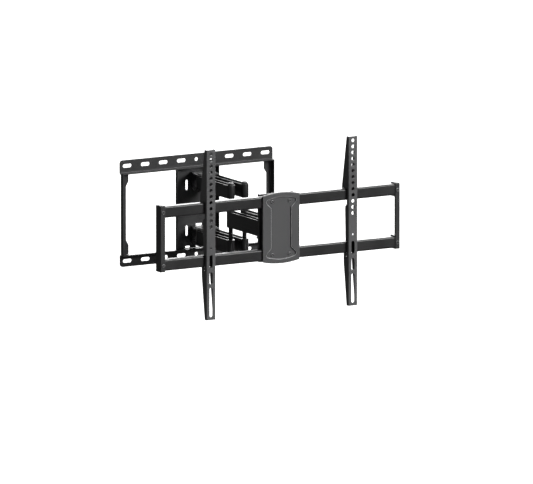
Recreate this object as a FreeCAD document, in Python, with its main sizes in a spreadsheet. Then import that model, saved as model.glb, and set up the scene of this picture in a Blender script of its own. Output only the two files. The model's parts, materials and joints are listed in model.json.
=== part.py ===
import FreeCAD, Part
import os
from types import SimpleNamespace

import Sketcher

# A full motion television wall mount: a ladder frame that is screwed to the wall, two folding arms
# side by side, a swivelling and tilting head, and a rail frame with two sliding brackets.
# Millimetres. The origin is the centre of the frame's back face, against the wall. +Z is up and the
# television side faces -Y, so "out", the distance from the wall, is -Y.

doc = FreeCAD.newDocument("WallMount")
sheet = doc.addObject("Spreadsheet::Sheet", "Sizes")

driving_sizes = {
    # wall frame
    "sheet_steel": 2.5,
    "frame_width": 433,
    "frame_height": 266,
    "rail_face": 32,
    "foot_rail_face": 28,
    "flange_depth": 13,
    "bend_radius": 1.5,
    "corner_radius": 8,
    "wall_slot_length": 25,
    "wall_slot_width": 9,
    "wall_slot_height": 118.4,
    "wall_slot_first": 42.5,
    "wall_slot_pitch": 51,
    "wall_hole_radius": 4.8,
    "side_outer": 214.5,
    "side_wide": 22.5,
    "side_narrow": 15.5,
    "side_wide_from": 79,
    "side_narrow_to": 67,
    "column_width": 119,
    "column_flange": 10,
    # folding arms
    "pivot_out": 55.5,
    "pivot_half": 19.5,
    "link_length": 150,
    "link_radius": 10,
    "bar_steel": 3,
    "boss_radius": 7.5,
    "arm_middle": 1,
    "upper_arm_gap": 51.5,
    "upper_arm_height": 33,
    "forearm_height": 39,
    "washer_steel": 1.5,
    "washer_radius": 8.5,
    "spacer_radius": 5.25,
    "bolt_radius": 4,
    "running_gap": 0.05,
    "loose_gap": 0.3,
    "tab_steel": 3,
    # swivelling and tilting head
    "swivel_out": 386.5,
    "head_middle": 10,
    "yoke_steel": 4,
    "barrel_radius": 7.5,
    "trunnion_radius": 5,
    "trunnion_reach": 30.5,
    "tilt_bolt_radius": 3,
    "ear_inner": 31,
    "ear_radius": 8,
    "rear_plate_half": 48,
    "rear_plate_top": 83,
    "rear_plate_bottom": 85,
    "rear_plate_flange": 6,
    # television frame
    "rail_back": 395,
    "rail_depth": 20,
    "rail_height": 28,
    "rail_pitch": 131,
    "rail_half": 335.5,
    "rail_wall": 2,
    "rail_corner": 4,
    "end_bar_inner": 323.5,
    "end_bar_outer": 337.5,
    "end_bar_cover": 2,
    "end_bar_lip": 3,
    "end_screw_x": 330,
    "end_screw_radius": 2.5,
    # front plate of the head
    "front_plate_half": 51.5,
    "front_plate_side": 82,
    "front_plate_arch": 6,
    "front_plate_depth": 5,
    "front_plate_skin": 2,
    "recess_half": 39.5,
    "recess_waist": 26,
    "recess_side": 69,
    "recess_arch": 7,
    "recess_shoulder": 63,
    "recess_neck": 50,
    "recess_slope": 3,
    "head_screw_x": 24,
    "head_screw_radius": 3,
    # television brackets
    "bracket_x": 200,
    "bracket_width": 25.8,
    "bracket_front": 424,
    "bracket_half": 210,
    "bracket_steel": 2.5,
    "bracket_hole_radius": 4.5,
    "bracket_hole_pitch": 15,
    "bracket_hole_first": 20,
    "hook_depth": 32,
    "tail_depth": 24,
}

for row, (alias, number) in enumerate(driving_sizes.items(), 1):
    sheet.set(f"A{row}", alias)
    sheet.set(f"B{row}", str(number))
    sheet.setAlias(f"B{row}", alias)
doc.recompute()


class Term:
    """A length: its value, and the sheet expression that gives it."""

    def __init__(self, value, text):
        self.value = value
        self.text = text

    def __add__(self, other):
        other = term(other)
        return Term(self.value + other.value, f"({self.text} + {other.text})")

    def __sub__(self, other):
        other = term(other)
        return Term(self.value - other.value, f"({self.text} - {other.text})")

    def __mul__(self, other):
        other = term(other)
        return Term(self.value * other.value, f"({self.text} * {other.text})")

    def __truediv__(self, other):
        other = term(other)
        return Term(self.value / other.value, f"({self.text} / {other.text})")

    def __neg__(self):
        return Term(-self.value, f"(0 - {self.text})")

    def __rsub__(self, other):
        return term(other) - self

    __radd__ = __add__
    __rmul__ = __mul__


def term(number):
    if isinstance(number, Term):
        return number
    return Term(float(number), f"({float(number)})")


dim = SimpleNamespace(**{a: Term(float(n), f"Sizes.{a}") for a, n in driving_sizes.items()})


def bind(thing, path, length):
    thing.setExpression(path, term(length).text)


# Outlines for sketches: a list of corners, and the centres of the sides that are arcs.


def rectangle(left, right, low, high):
    return [(left, low), (right, low), (right, high), (left, high)], {}


def rounded_rectangle(left, right, low, high, r):
    corners = [
        (left + r, low),
        (right - r, low),
        (right, low + r),
        (right, high - r),
        (right - r, high),
        (left + r, high),
        (left, high - r),
        (left, low + r),
    ]
    centres = {
        1: (right - r, low + r),
        3: (right - r, high - r),
        5: (left + r, high - r),
        7: (left + r, low + r),
    }
    return corners, centres


def slot_across(x, y, length, width):
    r = width / 2
    reach = length / 2 - r
    corners = [(x - reach, y - r), (x + reach, y - r), (x + reach, y + r), (x - reach, y + r)]
    return corners, {1: (x + reach, y), 3: (x - reach, y)}


def slot_upright(x, low, high, width):
    r = width / 2
    corners = [(x + r, low + r), (x + r, high - r), (x - r, high - r), (x - r, low + r)]
    return corners, {1: (x, high - r), 3: (x, low + r)}


def new_body(label):
    body = doc.addObject("PartDesign::Body", label)
    body.Label = label
    return body


def draw_wire(sketch, ties, rules, corners, centres):
    """Adds one closed outline, anticlockwise, with every corner tied to the sheet."""
    points = [(term(x), term(y)) for x, y in corners]
    vectors = [FreeCAD.Vector(x.value, y.value, 0) for x, y in points]
    first = sketch.GeometryCount
    count = len(points)
    for i in range(count):
        start, finish = vectors[i], vectors[(i + 1) % count]
        if i in centres:
            middle = FreeCAD.Vector(term(centres[i][0]).value, term(centres[i][1]).value, 0)
            circle = Part.Circle(middle, FreeCAD.Vector(0, 0, 1), (start - middle).Length)
            sketch.addGeometry(Part.ArcOfCircle(circle, circle.parameter(start), circle.parameter(finish)))
        else:
            sketch.addGeometry(Part.LineSegment(start, finish))
    for i in range(count):
        edge = first + i
        rules.append(Sketcher.Constraint("Coincident", edge, 2, first + (i + 1) % count, 1))
        ties.append(("DistanceX", (-1, 1, edge, 1), points[i][0]))
        ties.append(("DistanceY", (-1, 1, edge, 1), points[i][1]))
        if i in centres:
            chord = vectors[(i + 1) % count] - vectors[i]
            along = "DistanceX" if abs(chord.y) > abs(chord.x) else "DistanceY"
            ties.append((along, (-1, 1, edge, 3), term(centres[i][0 if along == "DistanceX" else 1])))


def draw_circle(sketch, ties, x, y, radius):
    x, y, radius = term(x), term(y), term(radius)
    edge = sketch.GeometryCount
    middle = FreeCAD.Vector(x.value, y.value, 0)
    sketch.addGeometry(Part.Circle(middle, FreeCAD.Vector(0, 0, 1), radius.value))
    ties.append(("DistanceX", (-1, 1, edge, 3), x))
    ties.append(("DistanceY", (-1, 1, edge, 3), y))
    ties.append(("Radius", (edge,), radius))


def new_sketch(body, plane, offset, outlines=(), circles=()):
    """A sketch on one of the body's own planes, moved along the plane's normal.

    XY: across = X, up = Y, normal +Z. XZ: across = X, up = Z, normal -Y, which is out from the wall.
    YZ: across = Y, up = Z, normal +X.
    """
    sketch = body.newObject("Sketcher::SketchObject", body.Label + "_sketch")
    face = next(f for f in body.Origin.OriginFeatures if f.Role == plane + "_Plane")
    sketch.AttachmentSupport = [(face, "")]
    sketch.MapMode = "FlatFace"
    bind(sketch, "AttachmentOffset.Base.z", offset)
    ties, rules = [], []
    for corners, centres in outlines:
        draw_wire(sketch, ties, rules, corners, centres)
    for x, y, radius in circles:
        draw_circle(sketch, ties, x, y, radius)
    fixed = [Sketcher.Constraint(kind, *where, length.value) for kind, where, length in ties]
    sketch.addConstraint(rules + fixed)
    for i, (kind, where, length) in enumerate(ties):
        name = f"tie_{i}"
        sketch.renameConstraint(len(rules) + i, name)
        bind(sketch, "Constraints." + name, length)
    return sketch


def pad(body, sketch, length):
    feature = body.newObject("PartDesign::Pad", body.Label + "_pad")
    feature.Profile = sketch
    bind(feature, "Length", length)
    body.Tip = feature
    return feature


def pocket(body, sketch, length, forward=False):
    """Cuts against the sketch plane's normal, or along it if forward."""
    feature = body.newObject("PartDesign::Pocket", body.Label + "_pocket")
    feature.Profile = sketch
    feature.Reversed = forward
    bind(feature, "Length", length)
    body.Tip = feature
    return feature


def fillet(body, radius, *tests):
    """Rounds the straight edges of the body's tip that pass one of the tests (axis, {axis: value})."""
    doc.recompute()
    base = body.Tip
    names = []
    for number, edge in enumerate(base.Shape.Edges, 1):
        if any(lies_along(edge, axis, near) for axis, near in tests):
            names.append(f"Edge{number}")
    feature = body.newObject("PartDesign::Fillet", body.Label + "_fillet")
    feature.Base = (base, names)
    bind(feature, "Radius", radius)
    body.Tip = feature
    return feature


def lies_along(edge, axis, near):
    if not isinstance(edge.Curve, Part.Line):
        return False
    if abs(getattr(edge.Curve.Direction, axis)) < 0.999:
        return False
    middle = edge.CenterOfMass
    return all(abs(abs(getattr(middle, k)) - abs(term(v).value)) < 0.05 for k, v in near.items())


# Plain primitives, placed by out, the distance from the wall.


def block(x, out, z):
    """A box between two values on each axis."""
    made = doc.addObject("Part::Box", "block")
    bind(made, "Length", x[1] - x[0])
    bind(made, "Width", out[1] - out[0])
    bind(made, "Height", z[1] - z[0])
    bind(made, "Placement.Base.x", x[0])
    bind(made, "Placement.Base.y", -term(out[1]))
    bind(made, "Placement.Base.z", z[0])
    return made


def rod(axis, start, length, radius):
    """A cylinder from start (x, out, z), running along x, out or z."""
    made = doc.addObject("Part::Cylinder", "rod")
    turn = {
        "x": FreeCAD.Rotation(FreeCAD.Vector(0, 1, 0), 90),
        "out": FreeCAD.Rotation(FreeCAD.Vector(1, 0, 0), 90),
        "z": FreeCAD.Rotation(),
    }
    made.Placement = FreeCAD.Placement(FreeCAD.Vector(), turn[axis])
    bind(made, "Radius", radius)
    bind(made, "Height", length)
    bind(made, "Placement.Base.x", start[0])
    bind(made, "Placement.Base.y", -term(start[1]))
    bind(made, "Placement.Base.z", start[2])
    return made


def hexagon(axis, start, length, radius):
    """A hexagonal prism, for nuts and socket recesses."""
    made = doc.addObject("Part::Prism", "hexagon")
    made.Polygon = 6
    turn = {"out": FreeCAD.Rotation(FreeCAD.Vector(1, 0, 0), 90), "z": FreeCAD.Rotation()}
    made.Placement = FreeCAD.Placement(FreeCAD.Vector(), turn[axis])
    bind(made, "Circumradius", radius)
    bind(made, "Height", length)
    bind(made, "Placement.Base.x", start[0])
    bind(made, "Placement.Base.y", -term(start[1]))
    bind(made, "Placement.Base.z", start[2])
    return made


def fuse(*shapes):
    made = doc.addObject("Part::MultiFuse", "fuse")
    made.Shapes = list(shapes)
    return made


def cut(base, *tools):
    made = doc.addObject("Part::Cut", "cut")
    made.Base = base
    made.Tool = tools[0] if len(tools) == 1 else fuse(*tools)
    return made


def group(label, shapes):
    """Identical loose pieces in one node."""
    made = doc.addObject("Part::Compound", label)
    made.Links = list(shapes)
    made.Label = label
    return made


def named(made, label):
    made.Label = label
    return made


# Heights and distances that several sub-parts share.

half_width = dim.frame_width / 2
half_height = dim.frame_height / 2
flange_top = half_height - dim.rail_face - dim.sheet_steel
flange_foot = dim.foot_rail_face + dim.sheet_steel - half_height
flange_out = dim.sheet_steel + dim.flange_depth
elbow_out = dim.pivot_out + dim.link_length
head_pivot_out = elbow_out + dim.link_length
bolt_bore = dim.bolt_radius + dim.running_gap
upper_level = (dim.arm_middle + dim.upper_arm_gap, dim.arm_middle + dim.upper_arm_gap + dim.upper_arm_height)
lower_level = (dim.arm_middle - dim.upper_arm_gap - dim.upper_arm_height, dim.arm_middle - dim.upper_arm_gap)
forearm_level = (dim.arm_middle - dim.forearm_height / 2, dim.arm_middle + dim.forearm_height / 2)
rail_front = dim.rail_back + dim.rail_depth
rail_centres = {"top": dim.head_middle + dim.rail_pitch / 2, "bottom": dim.head_middle - dim.rail_pitch / 2}
nodes = []


# Wall frame: two slotted rails, two side channels and the centre column.


def wall_rail(label, side):
    """An L of bent sheet with eight slots and a centre hole. side is 1 at the top, -1 at the bottom."""
    body = new_body(label)
    top = side * half_height
    inner = flange_top if side > 0 else flange_foot
    fold = inner + side * dim.sheet_steel
    profile = [
        (0, top),
        (-dim.sheet_steel, top),
        (-dim.sheet_steel, fold),
        (-flange_out, fold),
        (-flange_out, inner),
        (0, inner),
    ]
    if side < 0:
        profile.reverse()
    pad(body, new_sketch(body, "YZ", -half_width, [(profile, {})]), dim.frame_width)
    row_height = side * dim.wall_slot_height
    slots = []
    for i in range(4):
        for hand in (-1, 1):
            x = hand * (dim.wall_slot_first + i * dim.wall_slot_pitch)
            slots.append(slot_across(x, row_height, dim.wall_slot_length, dim.wall_slot_width))
    hole = (0, row_height, dim.wall_hole_radius)
    pocket(body, new_sketch(body, "XZ", dim.sheet_steel, slots, [hole]), dim.sheet_steel)
    fillet(body, dim.bend_radius, ("x", {"y": dim.sheet_steel, "z": fold}))
    fillet(body, dim.bend_radius + dim.sheet_steel, ("x", {"y": 0, "z": inner}))
    fillet(body, dim.corner_radius, ("y", {"x": half_width, "z": half_height}))
    fillet(body, dim.corner_radius / 2, ("z", {"x": half_width, "y": flange_out}))
    return body


def side_channel(label, side):
    """An angle with a face strip that flares at both ends. side is -1 on the left."""
    body = new_body(label)
    outer = side * dim.side_outer
    wide = side * (dim.side_outer - dim.side_wide)
    narrow = side * (dim.side_outer - dim.side_narrow)
    strip = [
        (outer, flange_foot),
        (outer, flange_top),
        (wide, flange_top),
        (wide, dim.side_wide_from),
        (narrow, dim.side_narrow_to),
        (narrow, -dim.side_narrow_to),
        (wide, -dim.side_wide_from),
        (wide, flange_foot),
    ]
    if side < 0:
        strip.reverse()
    pad(body, new_sketch(body, "XZ", 0, [(strip, {})]), dim.sheet_steel)
    wall = sorted((outer, side * (dim.side_outer - dim.sheet_steel)), key=lambda t: t.value)
    flange = rectangle(wall[0], wall[1], -flange_out, term(0))
    pad(body, new_sketch(body, "XY", flange_foot, [flange]), flange_top - flange_foot)
    fillet(body, dim.bend_radius + dim.sheet_steel, ("z", {"x": dim.side_outer, "y": 0}))
    fillet(body, dim.bend_radius, ("z", {"x": dim.side_outer - dim.sheet_steel, "y": dim.sheet_steel}))
    return body


def wall_column():
    """A shallow channel with slots for cable ties, and a narrow window above the lower arm bracket."""
    slot_x, slot_width, slot_rows = 27.5, 7, ((43, 69), (-71, -45))
    foot_slots, foot_z, foot_width = ((-25, 14), (7.5, 19)), -98.5, 4.5
    window_left, window_right, window_low, window_high = -2, 16, -46.3, -42.3
    half = dim.column_width / 2
    body = new_body("wall_column")
    face = rectangle(-half, half, flange_foot, flange_top)
    pad(body, new_sketch(body, "XZ", 0, [face]), dim.sheet_steel)
    flanges = [
        rectangle(-half, -half + dim.sheet_steel, -(dim.sheet_steel + dim.column_flange), term(0)),
        rectangle(half - dim.sheet_steel, half, -(dim.sheet_steel + dim.column_flange), term(0)),
    ]
    pad(body, new_sketch(body, "XY", flange_foot, flanges), flange_top - flange_foot)
    fillet(body, dim.bend_radius + dim.sheet_steel, ("z", {"x": half, "y": 0}))
    fillet(body, dim.bend_radius, ("z", {"x": half - dim.sheet_steel, "y": dim.sheet_steel}))
    openings = [rectangle(term(window_left), term(window_right), term(window_low), term(window_high))]
    for hand in (-1, 1):
        for low, high in slot_rows:
            openings.append(slot_upright(term(hand * slot_x), term(low), term(high), term(slot_width)))
    for x, length in foot_slots:
        openings.append(slot_across(term(x), term(foot_z), term(length), term(foot_width)))
    pocket(body, new_sketch(body, "XZ", dim.sheet_steel, openings), dim.sheet_steel)
    return body


def wall_bracket(label, level):
    """A fork welded to the column: a backing plate and two tabs, which hold one arm level's pins."""
    root_half, tip_half, tip_from, tip_round = 14, 30, 40, 8
    play = 1
    front = dim.pivot_out + 11
    outline = [
        (term(-root_half), -dim.sheet_steel),
        (term(-tip_half), term(-tip_from)),
        (term(-tip_half), -front),
        (term(tip_half), -front),
        (term(tip_half), term(-tip_from)),
        (term(root_half), -dim.sheet_steel),
    ]
    body = new_body(label)
    pins = [(hand * dim.pivot_half, -dim.pivot_out, bolt_bore) for hand in (-1, 1)]
    low_tab = level[0] - play - dim.tab_steel
    high_tab = level[1] + play
    pad(body, new_sketch(body, "XY", low_tab, [(outline, {})], pins), dim.tab_steel)
    backing = rectangle(term(-root_half), term(root_half), low_tab, high_tab + dim.tab_steel)
    pad(body, new_sketch(body, "XZ", dim.sheet_steel, [backing]), dim.tab_steel)
    pad(body, new_sketch(body, "XY", high_tab, [(outline, {})], pins), dim.tab_steel)
    fillet(body, tip_round, ("z", {"x": tip_half, "y": front}))
    return body


def headed_pin(x, out, low, high):
    """A hinge pin with a low round head on top and a retaining ring below."""
    head_radius, head_height, ring_height = 6.5, 2.5, 1.2
    shank = rod("z", (x, out, low - ring_height - 1), high - low + ring_height + 1, dim.bolt_radius)
    head = rod("z", (x, out, high), head_height, head_radius)
    ring = rod("z", (x, out, low - ring_height), ring_height, head_radius)
    return fuse(shank, head, ring)


for side, end in ((1, "top"), (-1, "bottom")):
    nodes.append(wall_rail(f"wall_rail_{end}", side))
for side, hand in ((-1, "left"), (1, "right")):
    nodes.append(side_channel(f"wall_side_{hand}", side))
nodes.append(wall_column())
nodes.append(wall_bracket("wall_bracket_upper", upper_level))
nodes.append(wall_bracket("wall_bracket_lower", lower_level))

tab_reach = 1 + dim.tab_steel
nodes.append(
    group(
        "wall_hinge_pins",
        [
            headed_pin(side * dim.pivot_half, dim.pivot_out, level[0] - tab_reach, level[1] + tab_reach)
            for level in (upper_level, lower_level)
            for side in (-1, 1)
        ],
    )
)


# Folding arms. Each link is one flat bar bent into a long loop, with a boss welded in each end.


def link(label, x, outs, level, bores):
    body = new_body(label)
    rims = []
    for r in (dim.link_radius, dim.link_radius - dim.bar_steel):
        corners = [(x + r, -outs[1]), (x + r, -outs[0]), (x - r, -outs[0]), (x - r, -outs[1])]
        rims.append((corners, {1: (x, -outs[0]), 3: (x, -outs[1])}))
    height = level[1] - level[0]
    pad(body, new_sketch(body, "XY", level[0], rims), height)
    rings = [(x, -out, r) for out, bore in zip(outs, bores) for r in (dim.boss_radius, bore)]
    pad(body, new_sketch(body, "XY", level[0], [], rings), height)
    return body


def washer(x, out, low):
    thickness = dim.washer_steel - 2 * dim.running_gap
    disc = rod("z", (x, out, low + dim.running_gap), thickness, dim.washer_radius)
    return cut(disc, rod("z", (x, out, low - 1), dim.washer_steel + 2, bolt_bore))


def spacer(x, out, low, high):
    tube = rod("z", (x, out, low), high - low, dim.spacer_radius)
    return cut(tube, rod("z", (x, out, low - 1), high - low + 2, bolt_bore))


def elbow_bolt(x):
    """A shouldered bolt with a domed socket head, down through both arm levels and the forearm."""
    head_radius, head_height, socket_radius, socket_depth, tail = 7.2, 4.5, 3, 2.5, 10
    low, high = lower_level[0], upper_level[1] + dim.washer_steel
    shank = rod("z", (x, elbow_out, low - tail), high - low + tail, dim.bolt_radius)
    head = rod("z", (x, elbow_out, high), head_height, head_radius)
    socket = hexagon("z", (x, elbow_out, high + head_height - socket_depth), socket_depth + 1, socket_radius)
    return cut(fuse(shank, head), socket)


def elbow_nut(x):
    nut_height, nut_radius = 6.5, 7.5
    low = lower_level[0] - dim.washer_steel - nut_height
    nut = hexagon("z", (x, elbow_out, low), nut_height, nut_radius)
    return cut(nut, rod("z", (x, elbow_out, low - 1), nut_height + 2, bolt_bore))


for side, hand in ((-1, "left"), (1, "right")):
    pivot_x = side * dim.pivot_half
    for level, end in ((upper_level, "top"), (lower_level, "bottom")):
        bores = (bolt_bore, bolt_bore)
        nodes.append(link(f"upper_arm_{hand}_{end}", pivot_x, (dim.pivot_out, elbow_out), level, bores))
    head_bore = bolt_bore if side < 0 else dim.bolt_radius + dim.loose_gap
    forearm_outs = (elbow_out, head_pivot_out)
    nodes.append(link(f"forearm_{hand}", pivot_x, forearm_outs, forearm_level, (bolt_bore, head_bore)))
    nodes.append(named(elbow_bolt(pivot_x), f"elbow_bolt_{hand}"))
    nodes.append(named(elbow_nut(pivot_x), f"elbow_nut_{hand}"))
    spans = (
        (forearm_level[1] + dim.washer_steel, upper_level[0]),
        (lower_level[1], forearm_level[0] - dim.washer_steel),
    )
    nodes.append(group(f"elbow_spacers_{hand}", [spacer(pivot_x, elbow_out, *span) for span in spans]))
    washer_lows = (
        upper_level[1],
        forearm_level[1],
        forearm_level[0] - dim.washer_steel,
        lower_level[0] - dim.washer_steel,
    )
    nodes.append(group(f"elbow_washers_{hand}", [washer(pivot_x, elbow_out, low) for low in washer_lows]))


# Head: the yoke between the forearms, the swivel block on its pin, and the tilting plates.

yoke_gap = (forearm_level[0] - dim.washer_steel, forearm_level[1] + dim.washer_steel)
yoke_levels = (yoke_gap[0] - dim.yoke_steel, yoke_gap[1])


def head_yoke():
    """Two plates joined by a short web. They hold the forearm pins and, at the nose, the swivel pin."""
    heel_half, nose_half, web_half, corner = 30, 9, 16, 7
    heel_out, cheek_out = head_pivot_out - 10.5, head_pivot_out + 6.5
    nose_out, web_out = dim.swivel_out + 9, head_pivot_out + 11
    outline = [
        (term(-nose_half), -nose_out),
        (term(nose_half), -nose_out),
        (term(heel_half), -cheek_out),
        (term(heel_half), -heel_out),
        (term(-heel_half), -heel_out),
        (term(-heel_half), -cheek_out),
    ]
    holes = [(hand * dim.pivot_half, -head_pivot_out, bolt_bore) for hand in (-1, 1)]
    holes.append((0, -dim.swivel_out, bolt_bore))
    body = new_body("head_yoke")
    pad(body, new_sketch(body, "XY", yoke_levels[0], [(outline, {})], holes), dim.yoke_steel)
    web = rectangle(term(-web_half), term(web_half), yoke_levels[0], yoke_levels[1] + dim.yoke_steel)
    pad(body, new_sketch(body, "XZ", web_out, [web]), 3)
    pad(body, new_sketch(body, "XY", yoke_levels[1], [(outline, {})], holes), dim.yoke_steel)
    fillet(body, corner, ("z", {"x": heel_half, "y": heel_out}), ("z", {"x": nose_half, "y": nose_out}))
    return body


def swivel_block():
    """A vertical barrel on the swivel pin, with a trunnion on each side for the tilt bolts."""
    thread_depth = 18
    low, high = yoke_gap[0] + 1, yoke_gap[1] - 1
    barrel = rod("z", (0, dim.swivel_out, low), high - low, dim.barrel_radius)
    reach = dim.trunnion_reach
    trunnions = rod("x", (-reach, dim.swivel_out, dim.head_middle), 2 * reach, dim.trunnion_radius)
    bore = rod("z", (0, dim.swivel_out, low - 1), high - low + 2, bolt_bore)
    thread_radius = dim.tilt_bolt_radius + dim.running_gap
    threads = [
        rod("x", (start, dim.swivel_out, dim.head_middle), thread_depth, thread_radius)
        for start in (-reach, reach - thread_depth)
    ]
    return cut(fuse(barrel, trunnions), bore, *threads)


def tilt_bolt(side):
    """A shoulder bolt through one ear of the rear plate into the swivel block's trunnion."""
    shank_length, head_radius, head_height, head_gap = 20, 5.5, 4.5, 0.3
    ear_outer = dim.ear_inner + dim.sheet_steel + head_gap
    start = ear_outer - shank_length if side > 0 else -ear_outer
    head_start = ear_outer if side > 0 else -ear_outer - head_height
    shank = rod("x", (start, dim.swivel_out, dim.head_middle), term(shank_length), dim.tilt_bolt_radius)
    head = rod("x", (head_start, dim.swivel_out, dim.head_middle), term(head_height), head_radius)
    return fuse(shank, head)


def rear_plate():
    """The plate behind the rails. Its window takes the swivel block, and its two ears hold the tilt bolts."""
    window_half, ear_foot = 50, 13
    half, middle = dim.rear_plate_half, dim.head_middle
    low, high = middle - dim.rear_plate_bottom, middle + dim.rear_plate_top
    web_out = dim.rail_back - dim.sheet_steel
    body = new_body("head_rear_plate")
    holes = [
        (hand * dim.head_screw_x, rail_centres[end], dim.head_screw_radius + dim.running_gap)
        for hand in (-1, 1)
        for end in rail_centres
    ]
    window = rectangle(-dim.ear_inner, dim.ear_inner, middle - window_half, middle + window_half)
    face = rectangle(-half, half, low, high)
    pad(body, new_sketch(body, "XZ", web_out, [face, window], holes), dim.sheet_steel)
    flanges = [
        rectangle(-half, -half + dim.sheet_steel, -dim.rail_back, -(web_out - dim.rear_plate_flange)),
        rectangle(half - dim.sheet_steel, half, -dim.rail_back, -(web_out - dim.rear_plate_flange)),
    ]
    pad(body, new_sketch(body, "XY", low, flanges), high - low)
    ear = [
        (-dim.swivel_out, middle - dim.ear_radius),
        (-dim.swivel_out, middle + dim.ear_radius),
        (-dim.rail_back, middle + ear_foot),
        (-dim.rail_back, middle - ear_foot),
    ]
    round_end = {0: (-dim.swivel_out, middle)}
    hole = (-dim.swivel_out, middle, dim.tilt_bolt_radius + dim.running_gap)
    for start in (-dim.ear_inner - dim.sheet_steel, dim.ear_inner):
        pad(body, new_sketch(body, "YZ", start, [(ear, round_end)], [hole]), dim.sheet_steel)
    return body


def arched(half, side_height, arch, shrink=0):
    """An upright outline whose top and bottom bulge: its corners, and the centres of its two arcs."""
    half, side_height = half - shrink, side_height - shrink
    middle = dim.head_middle
    radius = (half * half + arch * arch) / (2 * arch)
    rise = side_height + arch - radius
    corners = [
        (-half, middle - side_height),
        (half, middle - side_height),
        (half, middle + side_height),
        (-half, middle + side_height),
    ]
    return corners, {0: (term(0), middle - rise), 2: (term(0), middle + rise)}


def spool(shrink):
    """The outline of the sunken panel: wide arched ends and a narrow waist."""
    corners, centres = arched(dim.recess_half, dim.recess_side, dim.recess_arch, shrink)
    half, waist = dim.recess_half - shrink, dim.recess_waist - shrink
    middle = dim.head_middle
    shoulder, neck = dim.recess_shoulder - shrink / 2, dim.recess_neck + shrink / 4
    right = [(half, -shoulder), (waist, -neck), (waist, neck), (half, shoulder)]
    points = [corners[0], corners[1]]
    points += [(x, middle + z) for x, z in right]
    points += [corners[2], corners[3]]
    points += [(-x, middle + z) for x, z in reversed(right)]
    return points, {0: centres[0], 6: centres[2]}


def front_plate():
    """The pressed cover in front of the rails, with a rim, a sunken panel and four screw holes."""
    body = new_body("head_front_plate")
    front = rail_front + dim.front_plate_depth
    outline = arched(dim.front_plate_half, dim.front_plate_side, dim.front_plate_arch)
    holes = [
        (hand * dim.head_screw_x, rail_centres[end], dim.head_screw_radius + dim.running_gap)
        for hand in (-1, 1)
        for end in rail_centres
    ]
    pad(body, new_sketch(body, "XZ", rail_front, [outline], holes), dim.front_plate_depth)
    mouth = new_sketch(body, "XZ", front, [spool(term(0))])
    floor = new_sketch(body, "XZ", rail_front + dim.front_plate_skin, [spool(dim.recess_slope)])
    panel = body.newObject("PartDesign::SubtractiveLoft", "head_front_plate_panel")
    panel.Profile = mouth
    panel.Sections = [floor]
    panel.Ruled = True
    body.Tip = panel
    hollow = [
        arched(dim.front_plate_half, dim.front_plate_side, dim.front_plate_arch, dim.front_plate_skin),
        spool(-dim.front_plate_skin),
    ]
    depth = dim.front_plate_depth - dim.front_plate_skin
    pocket(body, new_sketch(body, "XZ", rail_front, hollow), depth, forward=True)
    return body


def head_screw(x, z):
    """A button-head socket screw through the front plate, a rail and the rear plate."""
    head_radius, head_height, socket_radius, socket_depth, tail = 4.3, 2.2, 2.1, 1.6, 9
    seat = rail_front + dim.front_plate_skin
    length = seat - dim.rail_back + dim.sheet_steel + tail
    shank = rod("out", (x, seat - length, z), length, dim.head_screw_radius)
    head = rod("out", (x, seat, z), head_height, head_radius)
    socket = hexagon("out", (x, seat + head_height - socket_depth, z), socket_depth + 1, socket_radius)
    return cut(fuse(shank, head), socket)


def head_nut(x, z):
    nut_height, nut_radius = 5, 5.8
    start = dim.rail_back - dim.sheet_steel - nut_height
    nut = hexagon("out", (x, start, z), term(nut_height), nut_radius)
    bore_radius = dim.head_screw_radius + dim.running_gap
    return cut(nut, rod("out", (x, start - 1, z), term(nut_height + 2), bore_radius))


nodes.append(head_yoke())
nodes.append(
    group(
        "head_hinge_pins",
        [
            headed_pin(side * dim.pivot_half, head_pivot_out, yoke_levels[0], yoke_levels[1] + dim.yoke_steel)
            for side in (-1, 1)
        ],
    )
)
nodes.append(
    group(
        "head_washers",
        [
            washer(side * dim.pivot_half, head_pivot_out, low)
            for side in (-1, 1)
            for low in (yoke_gap[0], forearm_level[1])
        ],
    )
)
swivel_pin = headed_pin(term(0), dim.swivel_out, yoke_levels[0], yoke_levels[1] + dim.yoke_steel)
nodes.append(named(swivel_pin, "swivel_pin"))
nodes.append(named(swivel_block(), "swivel_block"))
nodes.append(group("tilt_bolts", [tilt_bolt(side) for side in (-1, 1)]))
nodes.append(rear_plate())
nodes.append(front_plate())
screw_places = [(side * dim.head_screw_x, rail_centres[end]) for side in (-1, 1) for end in rail_centres]
nodes.append(group("head_screws", [head_screw(x, z) for x, z in screw_places]))
nodes.append(group("head_nuts", [head_nut(x, z) for x, z in screw_places]))


# Television frame: two rounded tubes held together by an end bar at each side.


def tv_rail(label, centre):
    low, high = centre - dim.rail_height / 2, centre + dim.rail_height / 2
    front, back, wall = -rail_front, -dim.rail_back, dim.rail_wall
    outer = rounded_rectangle(front, back, low, high, dim.rail_corner)
    inner_corner = dim.rail_corner - wall / 2
    inner = rounded_rectangle(front + wall, back - wall, low + wall, high - wall, inner_corner)
    body = new_body(label)
    pad(body, new_sketch(body, "YZ", -dim.rail_half, [outer, inner]), 2 * dim.rail_half)
    places = ((dim.head_screw_x, dim.head_screw_radius), (dim.end_screw_x, dim.end_screw_radius))
    holes = [(side * x, centre, radius + dim.running_gap) for x, radius in places for side in (-1, 1)]
    pocket(body, new_sketch(body, "XZ", rail_front, [], holes), dim.rail_depth)
    return body


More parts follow.
